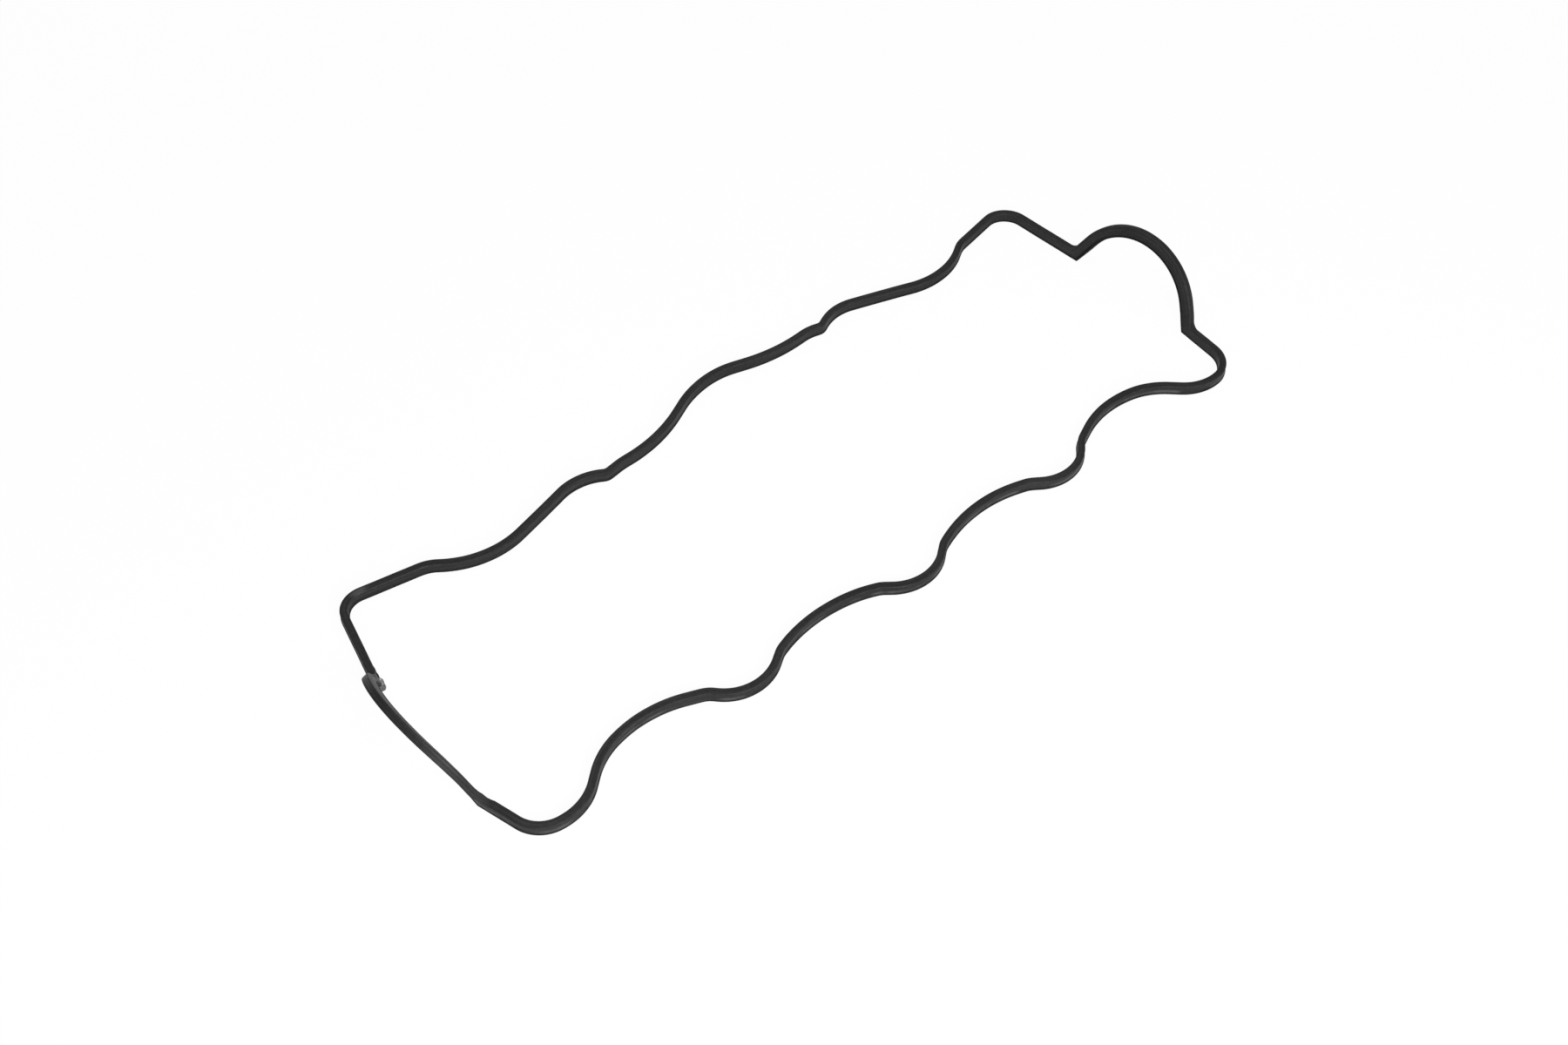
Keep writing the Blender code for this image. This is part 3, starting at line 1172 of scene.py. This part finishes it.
@dataclass
class SealingStrip:
    """The gasket itself: the rubber section carried round the closed line of rings."""

    finish: RubberFinish = field(default_factory=RubberFinish)
    section: StripSection = field(default_factory=StripSection)
    ripple_height: float = 0.00009
    ripple_length: float = 0.014
    ripple_seed: float = 4.0
    ripple_detail: float = 2.0
    streak_turn: float = 0.0034
    seam_gap: float = 1e-6
    crease_angle: float = math.radians(38.0)
    centre: Vector = field(default_factory=Vector)

    def flow(self, rings: list[Ring]) -> list[Vector]:
        """Return a place on a circle for each ring, so that streaks close on themselves.

        Args:
            rings: The rings.

        Returns:
            The places, in metres.
        """
        steps = [(a.bottom - b.bottom).length for a, b in zip(rings, rings[1:] + rings[:1])]
        girth = sum(steps)
        radius = girth / (2 * math.pi) * MM
        places = []
        walked = 0.0
        for step in steps:
            angle = 2 * math.pi * walked / girth
            places.append(Vector((radius * math.cos(angle), radius * math.sin(angle), 0.0)))
            walked += step
        return places

    def footprint_centre(self, rings: list[Ring]) -> Vector:
        """Return the middle of the footprint in the moulded outline's frame.

        Args:
            rings: The rings.

        Returns:
            The middle, in millimetres, at no height.
        """
        reach = []
        for ring in rings:
            rise = ring.top - ring.bottom
            for point in self.section.points():
                reach.append(ring.bottom + ring.outward * point.across + rise * point.height)
        middle = Vector((0.0, 0.0, 0.0))
        for axis in (0, 1):
            values = [point[axis] for point in reach]
            middle[axis] = (min(values) + max(values)) / 2
        return middle

    def spine(self, rings: list[Ring], points: list[SectionPoint]) -> bpy.types.Object:
        """Return the loft's input: a point for each ring, then a point for each section point.

        Args:
            rings: The rings in the moulded frame, in millimetres.
            points: The section's points.

        Returns:
            A mesh of loose points that carry the rings' directions.
        """
        blank = [Vector((0.0, 0.0, 0.0))] * len(points)
        places = [(ring.bottom - self.centre) * MM for ring in rings]
        places += [Vector((point.across * MM, point.height, point.flash)) for point in points]
        mesh = bpy.data.meshes.new("gasket_spine")
        mesh.from_pydata(places, [], [])
        values = {
            Attribute.RISE: [(ring.top - ring.bottom) * MM for ring in rings] + blank,
            Attribute.OUTWARD: [ring.outward for ring in rings] + blank,
            Attribute.FLOW: self.flow(rings) + blank,
            Attribute.FLASH: [ring.flash * MM for ring in rings] + blank,
            Attribute.INNER_LIP: [Vector((ring.inner_lip, 0.0, 0.0)) for ring in rings] + blank,
        }
        for name, vectors in values.items():
            layer = mesh.attributes.new(name.value, "FLOAT_VECTOR", "POINT")
            layer.data.foreach_set("vector", [number for vector in vectors for number in vector])
        holder = bpy.data.objects.new("gasket_strip", mesh)
        bpy.context.scene.collection.objects.link(holder)
        return holder

    def name_sockets(self, tree: bpy.types.NodeTree) -> None:
        """Give the loft its named inputs and its output.

        Args:
            tree: The loft's tree.
        """
        sockets = {
            "Spine": "NodeSocketGeometry",
            "Rings": "NodeSocketInt",
            "Section Points": "NodeSocketInt",
            "Ripple Height": "NodeSocketFloat",
            "Ripple Length": "NodeSocketFloat",
            "Ripple Seed": "NodeSocketFloat",
            "Rubber": "NodeSocketMaterial",
        }
        for name, kind in sockets.items():
            tree.interface.new_socket(name, in_out="INPUT", socket_type=kind)
        tree.interface.new_socket("Strip", in_out="OUTPUT", socket_type="NodeSocketGeometry")

    def ripple(
        self, graph: NodeGraph, given: bpy.types.Node, bottom: bpy.types.NodeSocket
    ) -> Number:
        """Return how far the soft strip ripples outwards.

        Args:
            graph: The loft's tree.
            given: The node of its named inputs.
            bottom: The ring's bottom, where the ripple is read.

        Returns:
            The distance, in metres, inwards where it is negative.
        """
        inputs = {
            "Vector": bottom,
            "W": given.outputs["Ripple Seed"],
            "Scale": 1.0 / graph.number(given, "Ripple Length"),
            "Detail": self.ripple_detail,
        }
        noise = graph.node("ShaderNodeTexNoise", {"noise_dimensions": "4D"}, inputs)
        swing = (graph.number(noise, "Fac") - 0.5) * 2.0
        return swing * graph.number(given, "Ripple Height")

    def dressed(
        self,
        graph: NodeGraph,
        sheet: bpy.types.NodeSocket,
        marks: dict[Attribute, bpy.types.NodeSocket],
        rubber: bpy.types.NodeSocket,
    ) -> bpy.types.NodeSocket:
        """Return the shaped sheet as one closed, smooth piece.

        Args:
            graph: The loft's tree.
            sheet: The sheet.
            marks: The vectors that its points keep for the shader.
            rubber: The material.

        Returns:
            The finished strip.
        """
        settings = {"data_type": "FLOAT_VECTOR", "domain": "POINT"}
        for name, value in marks.items():
            inputs = {"Geometry": sheet, "Name": name.value, "Value": value}
            sheet = graph.node("GeometryNodeStoreNamedAttribute", settings, inputs).outputs[0]
        seam = {"Geometry": sheet, "Distance": self.seam_gap}
        merged = graph.node("GeometryNodeMergeByDistance", None, seam)
        smooth = graph.node("GeometryNodeSetShadeSmooth", None, {"Geometry": merged.outputs[0]})
        real = graph.node("GeometryNodeRealizeInstances", None, {"Geometry": smooth.outputs[0]})
        finish = {"Geometry": real.outputs[0], "Material": rubber}
        return graph.node("GeometryNodeSetMaterial", None, finish).outputs[0]

    def loft_tree(self) -> bpy.types.NodeTree:
        """Return the Geometry Nodes that carry the section round the rings.

        Returns:
            The loft's tree.
        """
        tree = bpy.data.node_groups.new("section_round_the_rings", "GeometryNodeTree")
        self.name_sockets(tree)
        graph = NodeGraph(tree)
        given = graph.node("NodeGroupInput")
        rings = graph.number(given, "Rings")
        count = graph.number(given, "Section Points")
        sheet_inputs = {"Vertices X": rings + 1, "Vertices Y": count + 1}
        sheet = graph.node("GeometryNodeMeshGrid", None, sheet_inputs).outputs["Mesh"]
        index = graph.number(graph.node("GeometryNodeInputIndex"))
        ring_index = (index / (count + 1)).floored() % rings
        point_index = (index % (count + 1)) % count + rings
        place = graph.node("GeometryNodeInputPosition").outputs[0]

        def sampled(value: bpy.types.NodeSocket, at: Number) -> bpy.types.NodeSocket:
            """Return a value of the spine.

            Args:
                value: The value.
                at: The index of the spine's point where it is read.

            Returns:
                The value there.
            """
            settings = {"data_type": "FLOAT_VECTOR", "domain": "POINT"}
            inputs = {"Geometry": given.outputs["Spine"], "Value": value, "Index": at}
            return graph.node("GeometryNodeSampleIndex", settings, inputs).outputs[0]

        def carried(name: Attribute) -> bpy.types.NodeSocket:
            """Return what this point's ring carries.

            Args:
                name: Which of the rings' vectors.

            Returns:
                The vector.
            """
            settings = {"data_type": "FLOAT_VECTOR"}
            inputs = {"Name": name.value}
            named = graph.node("GeometryNodeInputNamedAttribute", settings, inputs)
            return sampled(named.outputs["Attribute"], ring_index)

        bottom = sampled(place, ring_index)
        drawn, height, flash = graph.separated(sampled(place, point_index))
        half_width = self.section.width / 2 * MM
        beyond = drawn.clamped(-2 * half_width, -half_width) + half_width
        inner_lip, _, _ = graph.separated(carried(Attribute.INNER_LIP))
        across = drawn - beyond * (1.0 - inner_lip)
        shifted = across + self.ripple(graph, given, bottom)
        side = graph.vector("SCALE", carried(Attribute.OUTWARD), shifted)
        lift = graph.vector("SCALE", carried(Attribute.RISE), height)
        shift = graph.vector("SCALE", carried(Attribute.FLASH), flash)
        base = graph.vector("ADD", bottom, side)
        target = graph.vector("ADD", base, graph.vector("ADD", lift, shift))
        shape_inputs = {"Geometry": sheet, "Position": target}
        shaped = graph.node("GeometryNodeSetPosition", None, shape_inputs).outputs[0]
        upward = graph.combined(0.0, 0.0, across + height * self.streak_turn)
        marks = {
            Attribute.SECTION: graph.combined(across / half_width, height, flash),
            Attribute.FLOW: graph.vector("ADD", carried(Attribute.FLOW), upward),
        }
        strip = self.dressed(graph, shaped, marks, given.outputs["Rubber"])
        graph.node("NodeGroupOutput", None, {"Strip": strip})
        return tree

    def set_inputs(self, modifier: bpy.types.Modifier, values: dict[str, object]) -> None:
        """Set a loft's named inputs by their sockets' identifiers.

        Args:
            modifier: The modifier that holds the loft.
            values: The values by the inputs' names.
        """
        for item in modifier.node_group.interface.items_tree:
            if item.in_out == "INPUT" and item.name in values:
                modifier[item.identifier] = values[item.name]

    def build(self) -> bpy.types.Object:
        """Build the strip and put it where the frame is.

        Returns:
            The finished strip, as a plain mesh.
        """
        rings = GasketLine(self.section).rings()
        points = self.section.points()
        self.centre = self.footprint_centre(rings)
        holder = self.spine(rings, points)
        modifier = holder.modifiers.new("loft", "NODES")
        modifier.node_group = self.loft_tree()
        values = {
            "Rings": len(rings),
            "Section Points": len(points),
            "Ripple Height": self.ripple_height,
            "Ripple Length": self.ripple_length,
            "Ripple Seed": self.ripple_seed,
            "Rubber": self.finish.material(),
        }
        self.set_inputs(modifier, values)
        depsgraph = bpy.context.evaluated_depsgraph_get()
        mesh = bpy.data.meshes.new_from_object(holder.evaluated_get(depsgraph))
        holder.modifiers.remove(modifier)
        spine = holder.data
        holder.data = mesh
        bpy.data.meshes.remove(spine)
        mesh.set_sharp_from_angle(angle=self.crease_angle)
        faces = len(mesh.polygons)
        LOG.info("strip: %d rings, %d points, %d faces", len(rings), len(points), faces)
        return holder


@dataclass
class Studio:
    """The pale floor, the soft lamps and the camera at the photograph's angle."""

    aim: tuple = (-23.69, 0.01)
    distance: float = 0.7391
    elevation: float = math.radians(49.65)
    yaw: float = math.radians(39.849)
    lens: float = 40.4
    sensor: float = 36.0
    floor_size: float = 6.0
    floor_drop: float = 0.0002
    floor_colour: tuple = (0.86, 0.86, 0.86, 1.0)
    floor_glow: float = 0.95
    world_strength: float = 0.43
    top_place: tuple = (0.1, 0.3, 1.5)
    top_size: float = 1.6
    top_power: float = 9.0
    side_place: tuple = (-0.22, -0.60, 0.36)
    side_size: float = 0.4
    side_power: float = 6.0

    def camera(self, centre: Vector) -> None:
        """Add the camera.

        Args:
            centre: The footprint's middle in the moulded outline's frame, in millimetres.
        """
        data = bpy.data.cameras.new("photo_camera")
        data.lens = self.lens
        data.sensor_width = self.sensor
        data.clip_start = 0.01
        data.clip_end = 50.0
        holder = bpy.data.objects.new("photo_camera", data)
        aim = (Vector((*self.aim, 0.0)) - centre) * MM
        level = Vector((math.sin(self.yaw), math.cos(self.yaw), 0.0))
        back = UP * math.sin(self.elevation) - level * math.cos(self.elevation)
        holder.location = aim + back * self.distance
        holder.rotation_euler = (math.pi / 2 - self.elevation, 0.0, -self.yaw)
        bpy.context.scene.collection.objects.link(holder)
        bpy.context.scene.camera = holder

    def floor_material(self) -> bpy.types.Material:
        """Return the floor's matte white.

        Returns:
            The material, which shows as white to the camera.
        """
        made = bpy.data.materials.new("studio_floor")
        made.use_nodes = True
        graph = NodeGraph(made.node_tree)
        matte = graph.node("ShaderNodeBsdfDiffuse", None, {"Color": self.floor_colour})
        glow = graph.node("ShaderNodeEmission", None, {"Color": WHITE, "Strength": 1.0})
        path = graph.node("ShaderNodeLightPath")
        seen = graph.number(path, "Is Camera Ray") + graph.number(path, "Is Glossy Ray")
        seen = seen + graph.number(path, "Is Transmission Ray")
        share = seen.between(Band(0.0, 1.0)) * self.floor_glow
        mix_inputs = {0: share, 1: matte.outputs[0], 2: glow.outputs[0]}
        mixed = graph.node("ShaderNodeMixShader", None, mix_inputs)
        graph.node("ShaderNodeOutputMaterial", None, {"Surface": mixed.outputs[0]})
        return made

    def floor(self) -> bpy.types.Object:
        """Lay the floor just under the gasket.

        Returns:
            The floor.
        """
        half = self.floor_size / 2
        mesh = bpy.data.meshes.new("studio_floor")
        corners = [(-half, -half), (half, -half), (half, half), (-half, half)]
        places = [(x, y, -self.floor_drop) for x, y in corners]
        mesh.from_pydata(places, [], [(0, 1, 2, 3)])
        mesh.materials.append(self.floor_material())
        holder = bpy.data.objects.new("studio_floor", mesh)
        bpy.context.scene.collection.objects.link(holder)
        return holder

    def lamp(self, name: str, place: tuple, size: float, power: float) -> None:
        """Add a soft lamp that looks at the origin.

        Args:
            name: The lamp's name.
            place: Where it hangs, in metres.
            size: Its side.
            power: Its power in watts.
        """
        data = bpy.data.lights.new(name, "AREA")
        data.size = size
        data.energy = power
        holder = bpy.data.objects.new(name, data)
        holder.location = place
        holder.rotation_euler = (-Vector(place)).to_track_quat("-Z", "Y").to_euler()
        bpy.context.scene.collection.objects.link(holder)

    def world(self) -> None:
        """Light the scene evenly and show white behind the floor."""
        made = bpy.data.worlds.new("studio_world")
        bpy.context.scene.world = made
        made.use_nodes = True
        graph = NodeGraph(made.node_tree)
        camera = graph.number(graph.node("ShaderNodeLightPath"), "Is Camera Ray")
        strength = self.world_strength + camera * (1.0 - self.world_strength)
        sky = graph.node("ShaderNodeBackground", None, {"Color": WHITE, "Strength": strength})
        graph.node("ShaderNodeOutputWorld", None, {"Surface": sky.outputs[0]})

    def build(self, centre: Vector) -> bpy.types.Object:
        """Set the studio up round the gasket.

        Args:
            centre: The footprint's middle in the moulded outline's frame, in millimetres.

        Returns:
            The floor.
        """
        self.camera(centre)
        self.world()
        self.lamp("soft_top", self.top_place, self.top_size, self.top_power)
        self.lamp("soft_side", self.side_place, self.side_size, self.side_power)
        bpy.context.scene.view_settings.view_transform = "Standard"
        return self.floor()


def main() -> None:
    """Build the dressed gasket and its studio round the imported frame."""
    logging.basicConfig(level=logging.INFO, format="%(message)s")
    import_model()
    strip = SealingStrip()
    gasket = strip.build()
    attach(gasket, BODY)
    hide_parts(CAD_NODE)
    LOG.info("piece %s rides on %s", gasket.name, BODY)
    floor = Studio().build(strip.centre)
    LOG.info("floor %s", floor.name)


if __name__ == "__main__":
    main()
